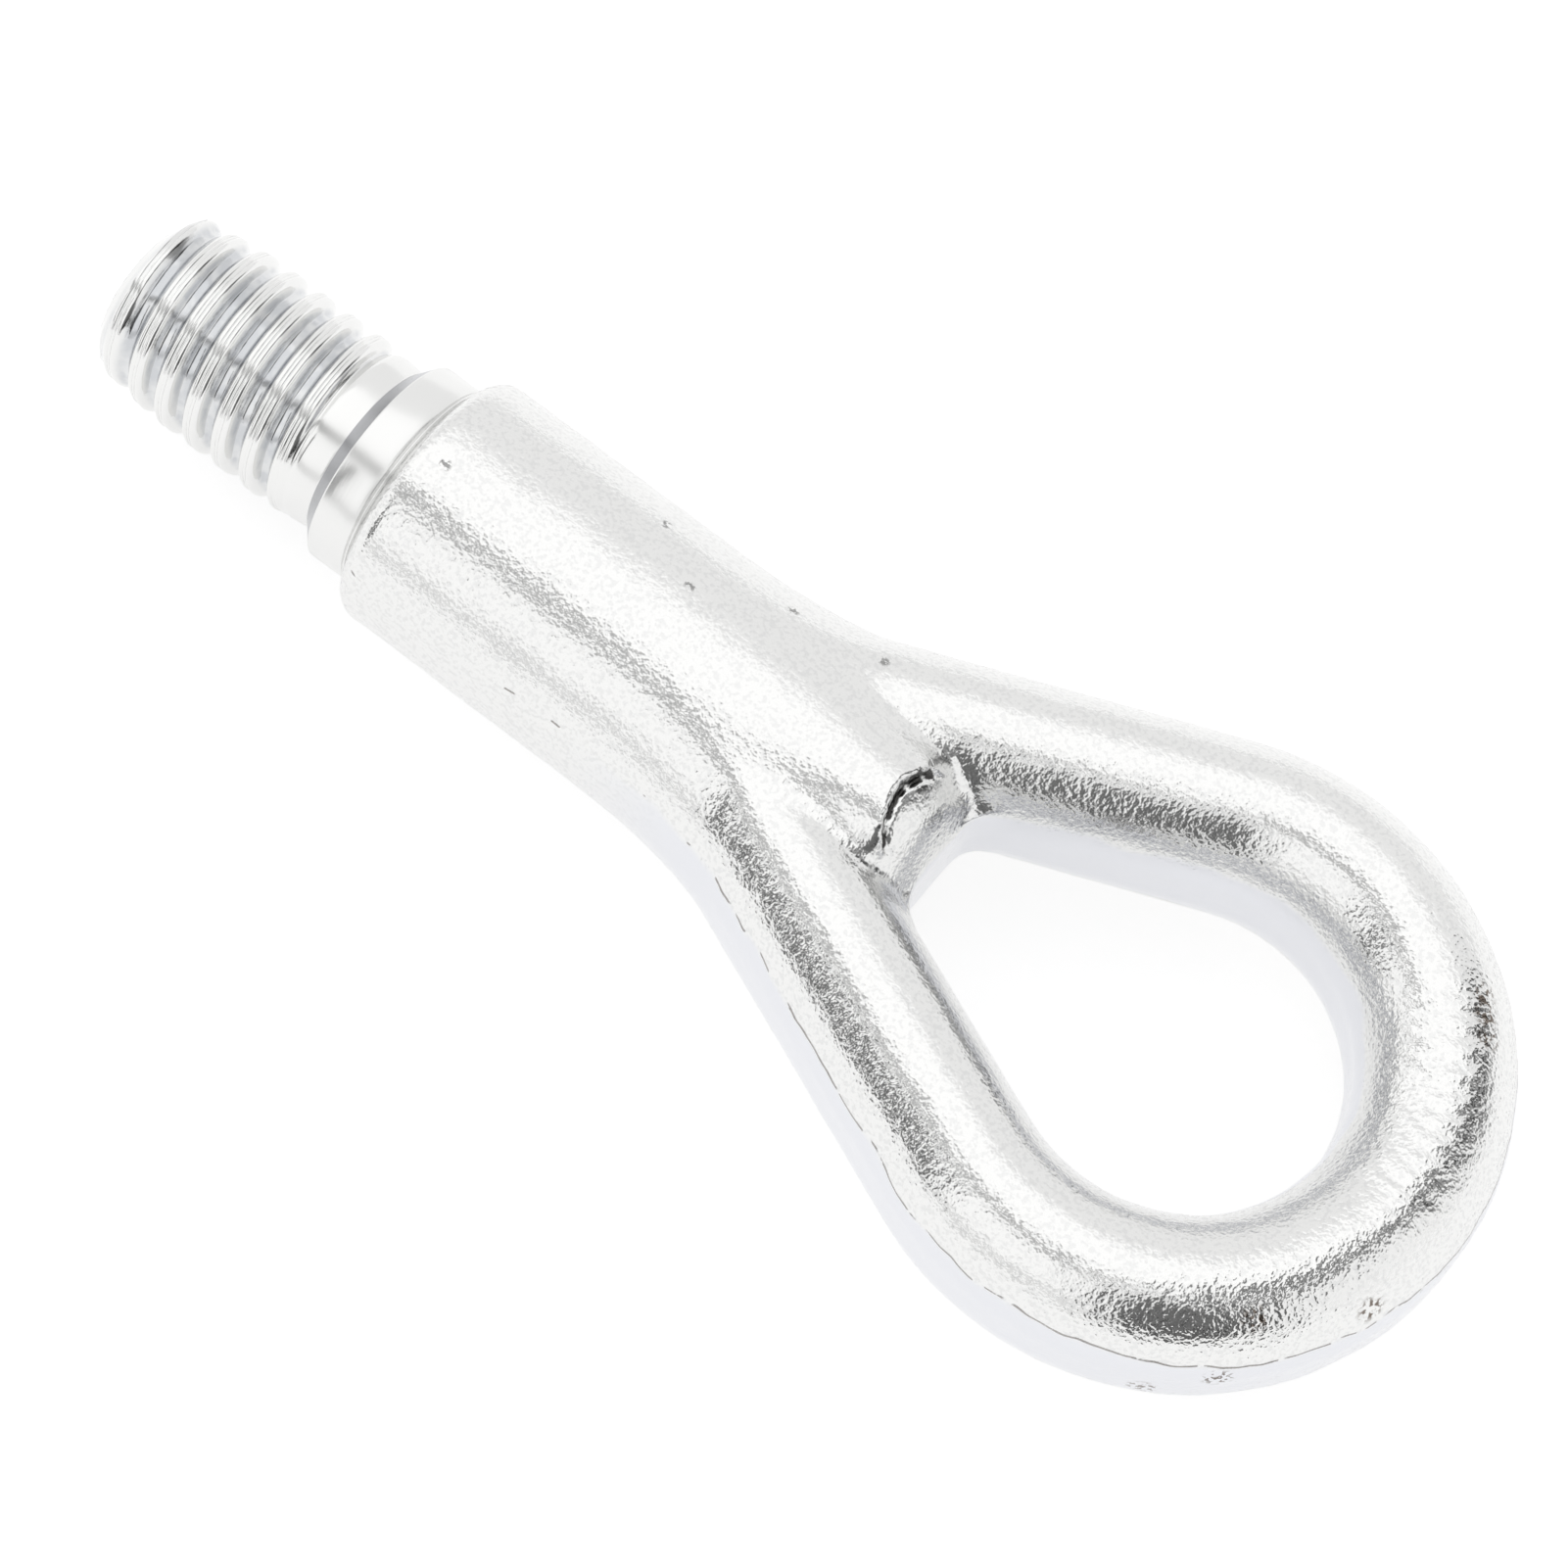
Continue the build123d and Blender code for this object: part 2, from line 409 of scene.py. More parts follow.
# %% Relax the skin, most of all in the fork
PASSES = 12
LEAST_SOFTNESS = 0.04
FORK_STARTS, FORK_ENDS = (25, 34), (56, 61)
CRISP_STRIP, CRISP_ENDS, CRISP_MIDDLE = (0.5, 2.5), (2.8, 4.8), -0.4
CRISP_HEIGHT = (5, 8)
CRISP_SHARE = 0.93


def softness(x, y, z):
    """Share of the smoothing passes that a place takes."""
    # The fork is soft all over, but for a strip along the crease, above and below
    fork = smoothstep(*FORK_STARTS, x) * (1 - smoothstep(*FORK_ENDS, x))
    crisp = 1 - smoothstep(*CRISP_STRIP, abs(past_crease(x, y)))
    ends = smoothstep(*CRISP_ENDS, abs(y - CRISP_MIDDLE))
    crisp *= (1 - ends) * smoothstep(*CRISP_HEIGHT, abs(z))
    return max(LEAST_SOFTNESS, fork * (1 - CRISP_SHARE * crisp))


soft = [(vert, softness(*vert.co / MM)) for vert in forging.verts]
for step in range(PASSES):
    bmesh.ops.smooth_vert(
        forging, verts=[vert for vert, share in soft if share * PASSES > step], factor=0.5,
        use_axis_x=True, use_axis_y=True, use_axis_z=True,
    )
print("vertices that took at least half of the passes:", sum(share > 0.5 for _, share in soft))

# %% [markdown]
# In the crease the steel lapped over itself and left a fold a third of a millimetre wide,
# finer than the grid of quads. Only the faces round it are divided further, and then the
# fold is pressed in, ragged and fading out at both ends.

# %% Refine the skin round the crease and fold it in
FOLD_DEPTH = 0.20
FOLD_WIDTH = 0.36
FOLD_OFFSET = 0.05
FOLD_ENDS, FOLD_MIDDLE = (3.6, 4.8), -0.3
REFINED_STRIP, REFINED_HALF_WIDTH, REFINED_HEIGHT = 1.6, 5.6, 6


def fold(x, y, z):
    """Strength of the fold at a place, from 0 to about 1."""
    if abs(z) < SIDE_HEIGHT:
        return 0
    # A narrow bell across the crease, which fades at both ends and breaks up on the way
    across = (past_crease(x, y) - FOLD_OFFSET) / FOLD_WIDTH
    ends = 1 - smoothstep(*FOLD_ENDS, abs(y - FOLD_MIDDLE))
    ragged = 0.8 + 0.7 * noise.noise(Vector((x, y, z)) * 1.7)
    return max(0, exp(-across ** 2) * ends * ragged)


near = [
    face for face in forging.faces
    for x, y, z in [face.calc_center_median() / MM]
    if abs(past_crease(x, y)) < REFINED_STRIP
    and abs(y) < REFINED_HALF_WIDTH and abs(z) > REFINED_HEIGHT
]
bmesh.ops.subdivide_edges(
    forging, edges=list({e for face in near for e in face.edges}), cuts=2, use_grid_fill=True,
)
for vert in forging.verts:
    x, y, z = vert.co / MM
    vert.co.z -= FOLD_DEPTH * fold(x, y, z) * (1 if z > 0 else -1) * MM
print("faces refined:", len(near), "now", len(forging.faces))

# %% [markdown]
# A hammer-struck skin is never quite even. Broad waves of a few hundredths of a millimetre
# bend every highlight a little, and the outer bend of the eye, which was stretched most,
# has wrinkles like fish scales, about 2 mm apart. Both are wider than a quad, so they are
# real shape here and not bump.

# %% Let the skin wander
MEAN_SINK = 0.06
BROAD_WAVE, BROAD_HEIGHT = 4.5, 0.045
FINE_WAVE, FINE_HEIGHT = 1.8, 0.022
WAVES_GROW = (78, 104)
SCALE_PITCH, SCALE_DEPTH, SCALE_BOW = 2.1, 0.06, 0.12
SCALES_START, SCALES_END = (-8, 0), (13, 21)
SCALES_HALF_WIDTH, SCALES_MIDDLE = (2.5, 5.5), -1.2
SKIN_STARTS = (0.5, 4)


def sink(x, y, z):
    """How far the skin lies below the drawing, in mm."""
    place = Vector((x, y, z))
    waves = BROAD_HEIGHT * noise.noise(place / BROAD_WAVE)
    waves += FINE_HEIGHT * noise.noise(place / FINE_WAVE)
    waves *= 1 + smoothstep(*WAVES_GROW, x)
    # The scales lie on the upper side of the outer bend, a little towards the middle line
    along = BAR_RADIUS * atan2(y, x - EYE_X)
    across = off_bar(x, y)
    there = smoothstep(*SCALES_START, along) * (1 - smoothstep(*SCALES_END, along))
    there *= smoothstep(0, SIDE_HEIGHT, z)
    there *= 1 - smoothstep(*SCALES_HALF_WIDTH, abs(across - SCALES_MIDDLE))
    bowed = along - SCALE_BOW * across ** 2
    scales = sin(2 * pi * bowed / SCALE_PITCH + 3 * noise.noise(place / 5))
    return MEAN_SINK + waves + SCALE_DEPTH * there * scales * (x > EYE_X)


forging.normal_update()
depths = [
    sink(*vert.co / MM) * smoothstep(*SKIN_STARTS, vert.co.x / MM) for vert in forging.verts
]
for vert, depth in zip(forging.verts, depths):
    vert.co -= vert.normal * depth * MM
print("waves, mm:", round(min(depths), 3), "to", round(max(depths), 3))

# %% [markdown]
# The real part is one piece, so both skins become one mesh: the turned end of the lathe's
# profile already runs on inside the forging. Each face notes which finish it has, and the
# new piece takes the place of the CAD node.

# %% Join the two skins into one piece
TURNED, FORGED = 0, 1
stud.from_mesh(to_mesh(lathe, "collar"))
bmesh.ops.recalc_face_normals(stud, faces=stud.faces[:])
for skin, finish in ((stud, TURNED), (forging, FORGED)):
    for face in skin.faces:
        face.smooth = True
        face.material_index = finish
stud.from_mesh(to_mesh(forging, "forging"))
tow_eye = bpy.data.objects.new("forged_tow_eye", to_mesh(stud, "forged_tow_eye"))
bpy.context.scene.collection.objects.link(tow_eye)
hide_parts("tow_eye")
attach(tow_eye, "root")
triangles = sum(len(face.vertices) - 2 for face in tow_eye.data.polygons)
print("tow eye: faces", len(tow_eye.data.polygons), "triangles", triangles)

# %% [markdown]
# The material needs to know where the fold is, and which side of the bar faces outwards.
# Both would be long sums in nodes. They are known here already, so each vertex carries
# them as an attribute, which travels with the mesh.

# %% Mark the fold and the sides of the bar for the material
def mark(name, values):
    """Stores one number on each vertex, which a material reads by this name."""
    tow_eye.data.attributes.new(name, "FLOAT", "POINT").data.foreach_set("value", values)
    print(name, "runs from", round(min(values), 2), "to", round(max(values), 2))


places = [vert.co / MM for vert in tow_eye.data.vertices]
mark("fold", [fold(*place) for place in places])
mark("off_bar", [off_bar(place.x, place.y) for place in places])

# %% [markdown]
# ## Bright zinc
#
# Electroplated zinc with a clear passivate is nearly as bright as chrome, but it copies
# whatever lies under it. On the forged skin that is the pattern left by shot blasting,
# which breaks every reflection into glitter. On the rolled and turned stud it is smooth
# with fine rings. Both are the same metal, so they share one colour and differ only in
# roughness and in the height that the bump reads. A picture of such metal would fix its
# reflections for one view, so everything is worked out from places on the part.

# %% Colours of the plating
def from_hex(text):
    """An sRGB hex colour as linear red, green, blue and alpha."""
    parts = [int(text[i:i + 2], 16) / 255 for i in (1, 3, 5)]
    return (*[c / 12.92 if c <= 0.04045 else ((c + 0.055) / 1.055) ** 2.4 for c in parts], 1)


ZINC = from_hex("#E7E7E6")
# Painted shade: the grey that the bottoms of the pits are darkened towards
PIT_SHADE_GREY = from_hex("#A6A8AB")
ZINC_ON_LAND = from_hex("#E0E1E5")
# Painted shade: the grey that the roots of the thread are darkened towards
ROOT_SHADE_GREY = from_hex("#C6C8CB")
# Painted dark reflection: the grey that the cone is darkened towards
CONE_REFLECTION_GREY = from_hex("#B4B5B8")
# The dark of the nicks, and also the painted shade in the fold
NICK_DARK_AND_FOLD_SHADE = from_hex("#2A2826")
RUST = from_hex("#5F5145")
print("zinc, linear:", [round(part, 3) for part in ZINC])

# %% [markdown]
# One function adds any node. Its inputs are given in the node's own order, or by name or
# number in a dict, and each is a plain value or the output of an earlier node. So a chain
# of nodes reads like a sum: a Map Range set to Smooth Step takes a value, the two ends of
# its run, and what to give at each end. A Mix node has sockets for every kind of data:
# input 0 is its share, inputs 2 and 3 are its two numbers, inputs 6 and 7 are its two
# colours, and output 2 is the mixed colour.

# %% One function for nodes, and a new metal
def add(tree, kind, inputs=(), out=0, **settings):
    """Adds a node with its settings and links, and gives back one of its outputs."""
    made = tree.nodes.new("ShaderNode" + kind)
    for name, value in settings.items():
        setattr(made, name, value)
    for name, value in inputs.items() if isinstance(inputs, dict) else enumerate(inputs):
        if isinstance(value, bpy.types.NodeSocket):
            tree.links.new(value, made.inputs[name])
        else:
            made.inputs[name].default_value = value
    return made.outputs[out]


def metal(name, roughness):
    """A new zinc-coloured metal: its material, its node tree and its shader."""
    material = bpy.data.materials.new(name)
    material.use_nodes = True
    shader = material.node_tree.nodes["Principled BSDF"]
    shader.inputs["Base Color"].default_value = ZINC
    shader.inputs["Metallic"].default_value = 1
    shader.inputs["Roughness"].default_value = roughness
    return material, material.node_tree, shader


SMOOTH = {"interpolation_type": "SMOOTHSTEP"}
MIXED = {"data_type": "RGBA", "out": 2}
print("settings of a smooth step:", SMOOTH, "and of a mix of colours:", MIXED)

# %% [markdown]
# Shot blasting leaves pits about 0.4 mm across, which is their real size and just shows in
# the render. Two noises give them, one of that size over a broader pebble, and they grow
# coarser towards the stretched end of the eye. The same noise also darkens the colour a
# little at the bottom of the pits: that is painted shade in the pits.

# %% Zinc over shot-blasted forged steel
PIT_SIZE, PIT_DEPTH = 0.42, 0.062
PEBBLE_SIZE, PEBBLE_DEPTH = 1.2, 0.035
# To the eye: near-mirror metal, whose pits break the bands of light into fine glitter
forged, tree, shader = metal("bright_zinc_on_shot_blasted_forging", 0.16)
where = add(tree, "TexCoord", out="Object")
x_place = add(tree, "SeparateXYZ", (where,), out="X")
z_place = add(tree, "SeparateXYZ", (where,), out="Z")

grain = add(tree, "TexNoise", {"Vector": where, "Scale": 1 / (PIT_SIZE * MM), "Detail": 1.0})
pits = add(tree, "Math", (grain, PIT_DEPTH * MM), operation="MULTIPLY")
broad = add(tree, "TexNoise", {"Vector": where, "Scale": 1 / (PEBBLE_SIZE * MM), "Detail": 1.0})
pebble = add(tree, "Math", (broad, PEBBLE_DEPTH * MM), operation="MULTIPLY")
coarser = add(tree, "MapRange", (x_place, 84 * MM, 104 * MM, 1, 1.7), **SMOOTH)
skin = add(tree, "Math", (pits, pebble), operation="ADD")
skin = add(tree, "Math", (skin, coarser), operation="MULTIPLY")

# Painted shade: the noise darkens the colour at the bottom of each pit
painted_pit_shade = add(tree, "MapRange", (grain, 0.34, 0.54, 0.16, 0), **SMOOTH)
colour = add(tree, "Mix", {0: painted_pit_shade, 6: ZINC, 7: PIT_SHADE_GREY}, **MIXED)
print("pits, mm across:", PIT_SIZE, "deep:", PIT_DEPTH)

# %% [markdown]
# The flash was sheared off along the parting line, and that left a land on the sides of
# the bar: smoother than the forged skin and a touch bluer. Its edge wanders, as a tear
# does, so a noise of a few millimetres is added to the height before the land is cut out
# of it by a smooth step.

# %% The trimmed land
TRIM_HEIGHT = 4.3
WANDER_SIZE, WANDER_REACH = 6, 2.4
height_above = add(tree, "Math", (z_place,), operation="ABSOLUTE")
drift = add(tree, "TexNoise", {"Vector": where, "Scale": 1 / (WANDER_SIZE * MM), "Detail": 2.0})
drift = add(tree, "Math", (drift, 0.5), operation="SUBTRACT")
drift = add(tree, "Math", (drift, WANDER_REACH * MM), operation="MULTIPLY")
above_trim = add(tree, "Math", (height_above, TRIM_HEIGHT * MM), operation="SUBTRACT")
above_trim = add(tree, "Math", (above_trim, drift), operation="ADD")

on_land = add(tree, "MapRange", (above_trim, -0.6 * MM, 0.3 * MM, 1, 0), **SMOOTH)
past_shank = add(tree, "MapRange", (x_place, 24 * MM, 40 * MM, 0, 1), **SMOOTH)
on_land = add(tree, "Math", (on_land, past_shank), operation="MULTIPLY")
smoother = add(tree, "MapRange", (on_land, 0, 1, 1, 0.5))
skin = add(tree, "Math", (skin, smoother), operation="MULTIPLY")
colour = add(tree, "Mix", {0: on_land, 6: colour, 7: ZINC_ON_LAND}, **MIXED)
print("land, mm high:", 2 * TRIM_HEIGHT)

# %% [markdown]
# The land is edged with a fine dark line where plating never bridged the tear. The line is
# broken into dashes towards the shank, and it shows on the outer sides of the eye, where
# the shear bit deepest. So three shares are multiplied: close to the edge, not between two
# dashes, and on an outer side. The line is drawn 0.15 mm wide, a little coarser than the
# real tear, so that it shows.

# %% The torn line along its edge
LINE_DEPTH = 0.08
outwards = add(tree, "Attribute", out="Fac", attribute_name="off_bar")
outer = add(tree, "MapRange", (outwards, 3, 5, 0, 1), **SMOOTH)
off_edge = add(tree, "Math", (above_trim,), operation="ABSOLUTE")
line = add(tree, "MapRange", (off_edge, 0.03 * MM, 0.12 * MM, 1, 0), **SMOOTH)
breaks = add(tree, "TexNoise", {"Vector": where, "Scale": 1 / (1.6 * MM), "Detail": 2.0})
least = add(tree, "MapRange", (x_place, 30 * MM, 60 * MM, 0.58, 0.40), **SMOOTH)
torn = add(tree, "Math", (breaks, least), operation="SUBTRACT")
dashes = add(tree, "MapRange", (torn, 0, 0.06, 0, 1), **SMOOTH)
line = add(tree, "Math", (line, dashes), operation="MULTIPLY")
line = add(tree, "Math", (line, outer), operation="MULTIPLY")

groove = add(tree, "Math", (line, LINE_DEPTH * MM), operation="MULTIPLY")
skin = add(tree, "Math", (skin, groove), operation="SUBTRACT")
stain = add(tree, "Math", (line, 0.65), operation="MULTIPLY")
colour = add(tree, "Mix", {0: stain, 6: colour, 7: RUST}, **MIXED)
print("nodes up to the torn line:", len(tree.nodes))

# %% [markdown]
# Where a tow hook has rubbed the plating through, the steel shows as small brown stains,
# and a few knocks have left dark nicks. A painted mask would need a UV map. Each of these
# is a cluster of flecks round a point, so a distance and one noise are enough.

# %% Places of the stains and nicks
STAINS = (
    (100.4, 17.4, 9.1), (101.4, 16.1, 9.2), (102.7, 14.6, 9.2), (101.3, -18.0, 8.4),
    (108.2, -10.3, 6.2), (101.7, -21.9, 2.4), (97.1, -25.2, -1.1),
)
NICKS = (
    (20.9, 6.9, 10.4), (26.4, 2.8, 12.2), (34.1, 7.8, 9.7), (3.5, -1.8, 12.4),
    (48.9, -4.5, 11.2), (42.9, 9.1, 9.6),
)
FLECK_SIZE = 0.45
flecks = add(tree, "TexNoise", {"Vector": where, "Scale": 1 / (FLECK_SIZE * MM), "Detail": 3.0})
flecks = add(tree, "MapRange", (flecks, 0.50, 0.56, 0, 1), **SMOOTH)


def spots(points, reach_mm):
    """Flecks that gather round the points and thin out towards reach_mm."""
    share = 0
    for point in points:
        centre = Vector(point) * MM
        away = add(tree, "VectorMath", (where, centre), out="Value", operation="DISTANCE")
        ends = (0.4 * reach_mm * MM, reach_mm * MM)
        near_point = add(tree, "MapRange", (away, *ends, 1, 0), **SMOOTH)
        share = add(tree, "Math", (share, near_point), operation="MAXIMUM")
    return add(tree, "Math", (share, flecks), operation="MULTIPLY")


print("stains:", len(STAINS), "nicks:", len(NICKS))

# %% Stains, nicks and painted shade in the fold
STAIN_REACH = 1.7
NICK_REACH, NICK_DEPTH = 0.7, 0.1
stained = add(tree, "Math", (spots(STAINS, STAIN_REACH), 0.9), operation="MULTIPLY")
colour = add(tree, "Mix", {0: stained, 6: colour, 7: RUST}, **MIXED)
nicked = spots(NICKS, NICK_REACH)
dent = add(tree, "Math", (nicked, NICK_DEPTH * MM), operation="MULTIPLY")
skin = add(tree, "Math", (skin, dent), operation="SUBTRACT")
darkened = add(tree, "Math", (nicked, 0.6), operation="MULTIPLY")
colour = add(tree, "Mix", {0: darkened, 6: colour, 7: NICK_DARK_AND_FOLD_SHADE}, **MIXED)

# Painted shade: the fold is darkened almost to black
painted_fold_shade = add(tree, "Attribute", out="Fac", attribute_name="fold")
painted_fold_shade = add(tree, "MapRange", (painted_fold_shade, 0.35, 0.75, 0, 0.95), **SMOOTH)
colour = add(tree, "Mix", {0: painted_fold_shade, 6: colour, 7: NICK_DARK_AND_FOLD_SHADE}, **MIXED)
tree.links.new(colour, shader.inputs["Base Color"])
relief = add(tree, "Bump", {"Height": skin, "Strength": 1, "Distance": 1})
tree.links.new(relief, shader.inputs["Normal"])
print("nodes in the forged zinc:", len(tree.nodes))

# %% [markdown]
# A lathe tool leaves rings as far apart as its feed, here 0.18 mm, which is just coarse
# enough to show, and thread rolls leave such rings too. An anisotropic shader would only
# smear the highlight. Noise that is stretched thirtyfold round the axis draws the rings
# themselves. The thread also has shallow dents, which the duller collar nearly lacks.

# %% Zinc over the rolled thread and the turned collar
RING_SPACING, RING_DEPTH = 0.18, 0.010
DENT_SIZE, THREAD_DENTS, COLLAR_DENTS = 0.8, 0.016, 0.003
THREAD_ROUGHNESS, COLLAR_ROUGHNESS = 0.13, 0.23
# To the eye: a bright mirror on the thread and a softer one on the collar, drawn into rings
turned, tree, shader = metal("bright_zinc_on_rolled_and_turned_steel", THREAD_ROUGHNESS)
where = add(tree, "TexCoord", out="Object")
along = add(tree, "SeparateXYZ", (where,), out="X")
stretch = add(tree, "Mapping", {"Vector": where, "Scale": (1, 0.03, 0.03)})
rings = add(
    tree, "TexNoise", {"Vector": stretch, "Scale": 1 / (RING_SPACING * MM), "Detail": 2.0},
)
rings = add(tree, "Math", (rings, RING_DEPTH * MM), operation="MULTIPLY")
dents = add(tree, "TexNoise", {"Vector": where, "Scale": 1 / (DENT_SIZE * MM), "Detail": 2.0})
dent_ends = (-10 * MM, -7.5 * MM, THREAD_DENTS * MM, COLLAR_DENTS * MM)
dented = add(tree, "MapRange", (along, *dent_ends), **SMOOTH)
dents = add(tree, "Math", (dents, dented), operation="MULTIPLY")
skin = add(tree, "Math", (rings, dents), operation="ADD")
relief = add(tree, "Bump", {"Height": skin, "Strength": 1, "Distance": 1})
tree.links.new(relief, shader.inputs["Normal"])
duller_ends = (-10 * MM, -6 * MM, THREAD_ROUGHNESS, COLLAR_ROUGHNESS)
duller = add(tree, "MapRange", (along, *duller_ends), **SMOOTH)
tree.links.new(duller, shader.inputs["Roughness"])
print("rings, mm apart:", RING_SPACING)

# %% [markdown]
# The roots of the thread, in patches, and the cone are painted darker. In the roots this is
# painted shade, where the ridges hide them from the light, and on the cone it is a painted
# dark reflection of the neck and the thread. A mask could be painted, but the distance from
# the axis finds the roots, and the place along it finds the cone.

# %% Painted shade in the roots and a painted dark reflection on the cone
# Without its X, a place's length is its distance from the axis
sides = add(tree, "VectorMath", (where, (0, 1, 1)), operation="MULTIPLY")
radius = add(tree, "VectorMath", (sides,), out="Value", operation="LENGTH")
# Painted shade: the roots of the thread are darkened towards a grey
painted_root_shade = add(tree, "MapRange", (radius, 7.75 * MM, 8.4 * MM, 1, 0), **SMOOTH)
off_tip = add(tree, "MapRange", (along, -30.5 * MM, -29.5 * MM, 0, 1), **SMOOTH)
painted_root_shade = add(tree, "Math", (painted_root_shade, off_tip), operation="MULTIPLY")
patches = add(tree, "TexNoise", {"Vector": where, "Scale": 1 / (2.2 * MM), "Detail": 2.0})
patches = add(tree, "MapRange", (patches, 0.35, 0.60, 0.5, 1), **SMOOTH)
painted_root_shade = add(tree, "Math", (painted_root_shade, patches), operation="MULTIPLY")
colour = add(tree, "Mix", {0: painted_root_shade, 6: ZINC, 7: ROOT_SHADE_GREY}, **MIXED)

# Painted dark reflection: the cone is darkened towards a grey
cone_starts = add(tree, "MapRange", (along, -6.0 * MM, -5.85 * MM, 0, 1), **SMOOTH)
cone_ends = add(tree, "MapRange", (along, -4.6 * MM, -4.45 * MM, 1, 0), **SMOOTH)
painted_cone_reflection = add(tree, "Math", (cone_starts, cone_ends), operation="MULTIPLY")
colour = add(tree, "Mix", {0: painted_cone_reflection, 6: colour, 7: CONE_REFLECTION_GREY}, **MIXED)
tree.links.new(colour, shader.inputs["Base Color"])
tow_eye.data.materials.append(turned)
tow_eye.data.materials.append(forged)
print("materials:", [material.name for material in tow_eye.data.materials])

# %% [markdown]
# ## The studio
#
# The part lies on matt white paper. A floor that is only lit can't come out pure white
# without burning out the part, so it glows a little instead, and only where a ray comes
# straight from the camera or off the metal. It still takes the part's soft shadow.

# %% Floor
FLOOR_REACH = 3000
FLOOR_GLOW = 0.70
floor_bm = bmesh.new()
bmesh.ops.create_grid(floor_bm, x_segments=1, y_segments=1, size=FLOOR_REACH * MM)
bmesh.ops.translate(floor_bm, verts=floor_bm.verts[:], vec=(0, 0, cad_box[0].z))
floor = bpy.data.objects.new("floor", to_mesh(floor_bm, "floor"))
bpy.context.scene.collection.objects.link(floor)

# To the eye: plain white paper with no gloss at all
paper = bpy.data.materials.new("white_paper")
paper.use_nodes = True
tree = paper.node_tree
shader = tree.nodes["Principled BSDF"]
shader.inputs["Base Color"].default_value = from_hex("#B8B8B8")
shader.inputs["Roughness"].default_value = 0.9
shader.inputs["Specular IOR Level"].default_value = 0
shader.inputs["Emission Color"].default_value = (1, 1, 1, 1)
seen = 0
for kind in ("Is Camera Ray", "Is Glossy Ray", "Is Transmission Ray"):
    ray = add(tree, "LightPath", out=kind)
    seen = add(tree, "Math", (seen, ray), operation="MAXIMUM")
glow = add(tree, "Math", (seen, FLOOR_GLOW), operation="MULTIPLY")
tree.links.new(glow, shader.inputs["Emission Strength"])
floor.data.materials.append(paper)
print("floor at z, mm:", round(cad_box[0].z / MM, 2))

# %% [markdown]
# The part was photographed in a light tent: a white table, white walls, a large box of
# light overhead and another in front, with thin dark seams between them. Beyond the eye
# the tent stands open round a window of light. Metal has no colour of its own to show, so
# those seams and that opening draw the whole picture. Area lamps could stand in for the
# boxes, but not for the dark seams, so the world itself is the tent. Its level is plain: a
# matt colour renders about as it is written.
#
# A flat panel of the tent is a rectangle in the two ratios that a pinhole would draw it
# with: sideways over depth, and height over depth. A direction's own coordinates give
# both, so each wall, box and seam is a product of a few soft steps.

# %% A panel of the light tent
scene = bpy.context.scene
scene.view_settings.view_transform = "Standard"
scene.world = bpy.data.worlds.new("light_tent")
scene.world.use_nodes = True
tree = scene.world.node_tree
heading = add(tree, "TexCoord", out="Generated")
east, north, high = (add(tree, "SeparateXYZ", (heading,), out=axis) for axis in "XYZ")
south = add(tree, "Math", (north, -1), operation="MULTIPLY")


def between(value, low, high, soft):
    """1 between two values of a node's output, falling softly to 0 outside them."""
    rise = add(tree, "MapRange", (value, low - soft, low + soft, 0, 1), **SMOOTH)
    fall = add(tree, "MapRange", (value, high - soft, high + soft, 1, 0), **SMOOTH)
    return add(tree, "Math", (rise, fall), operation="MULTIPLY")


def panel(depth, sideways, upwards, sideways_range, upwards_range, soft):
    """A soft-edged rectangle on the wall that faces the part along the depth axis."""
    ahead = add(tree, "MapRange", (depth, 0.0, 0.05, 0, 1), **SMOOTH)
    depth = add(tree, "Math", (depth, 0.001), operation="MAXIMUM")
    across = add(tree, "Math", (sideways, depth), operation="DIVIDE")
    upright = add(tree, "Math", (upwards, depth), operation="DIVIDE")
    inside = add(
        tree, "Math",
        (between(across, *sideways_range, soft), between(upright, *upwards_range, soft)),
        operation="MULTIPLY",
    )
    return add(tree, "Math", (ahead, inside), operation="MULTIPLY")


print("tent axes:", east.name, north.name, high.name)

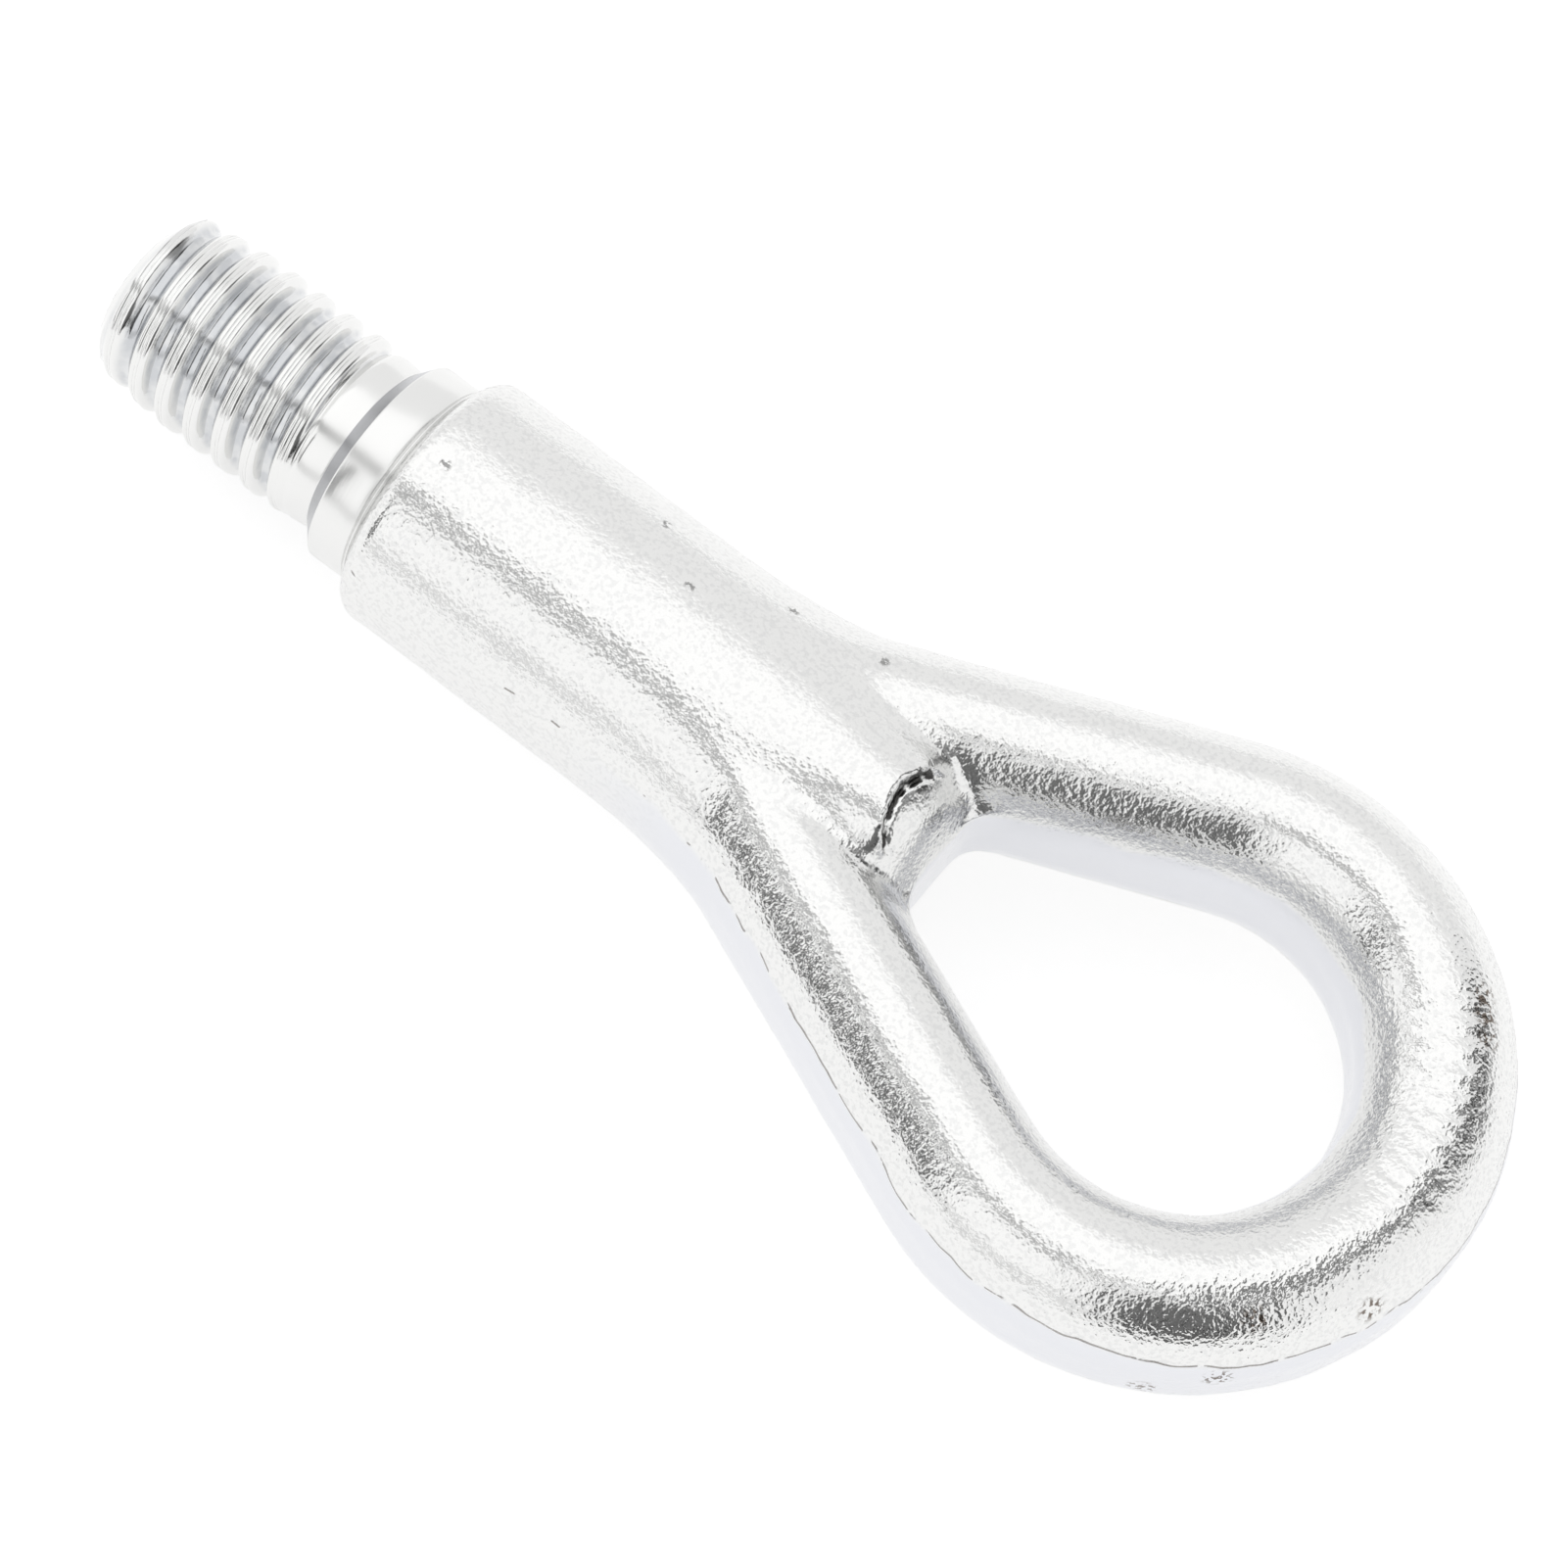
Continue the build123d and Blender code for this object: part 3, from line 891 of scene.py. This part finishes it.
# %% [markdown]
# The bare tent is even white cloth, a little brighter overhead. Each panel then moves the
# level towards its own, in the order of the list, so a later panel lies over the earlier
# ones. A level of 1 is white, and the two boxes of light are a little above it.

# %% Panels of the light tent
WALL_LEVEL, ROOF_LEVEL = 0.99, 1.2
roof = add(tree, "MapRange", (high, 0.70, 0.94, 0, 1), **SMOOTH)
light = add(tree, "Mix", {0: roof, 2: WALL_LEVEL, 3: ROOF_LEVEL})
for name, depth, sideways, upwards, across_range, up_range, soft, level in (
    ("open side, south of the window", east, north, high, (-2.3, -0.45), (-0.3, 1.7), 0.12, 0.16),
    ("its foot, darkest at the floor", east, north, high, (-2.2, -0.60), (-0.3, 0.25), 0.12, 0.02),
    ("dark arch over the window", east, north, high, (-0.55, 0.60), (1.10, 2.5), 0.12, 0.20),
    ("open side, north of the window", east, north, high, (0.60, 1.75), (0.25, 2.5), 0.12, 0.32),
    ("its darkest corner", east, north, high, (1.00, 1.65), (0.55, 1.60), 0.12, 0.03),
    ("window", east, north, high, (-0.50, 0.50), (-0.3, 1.12), 0.06, 1.08),
    ("box of light in front", south, east, high, (-9, 0.27), (0.20, 1.52), 0.05, 1.18),
    ("soft gap under that box", south, east, high, (-9, 0.27), (0.02, 0.16), 0.08, 0.80),
    ("seam in the corner", south, east, high, (-0.90, -0.64), (-0.3, 1.05), 0.05, 0.03),
    ("box of light overhead", high, east, north, (-9, 0.36), (-0.46, 0.62), 0.06, 1.25),
    ("seam beside that box", high, east, north, (-9, 0.30), (-0.74, -0.50), 0.11, 0.42),
):
    share = panel(depth, sideways, upwards, across_range, up_range, soft)
    light = add(tree, "Mix", {0: share, 2: light, 3: level})
    print("tent:", name)

# %% [markdown]
# The camera itself looks past the tent at a plain white sheet, so any ray that comes
# straight from it sees at least 1. Only the metal sees the seams.

# %% Hang the tent in the world
camera_ray = add(tree, "LightPath", out="Is Camera Ray")
light = add(tree, "Math", (light, camera_ray), operation="MAXIMUM")
backdrop = tree.nodes["Background"]
backdrop.inputs["Color"].default_value = (1, 1, 1, 1)
tree.links.new(light, backdrop.inputs["Strength"])
print("nodes in the tent:", len(tree.nodes))
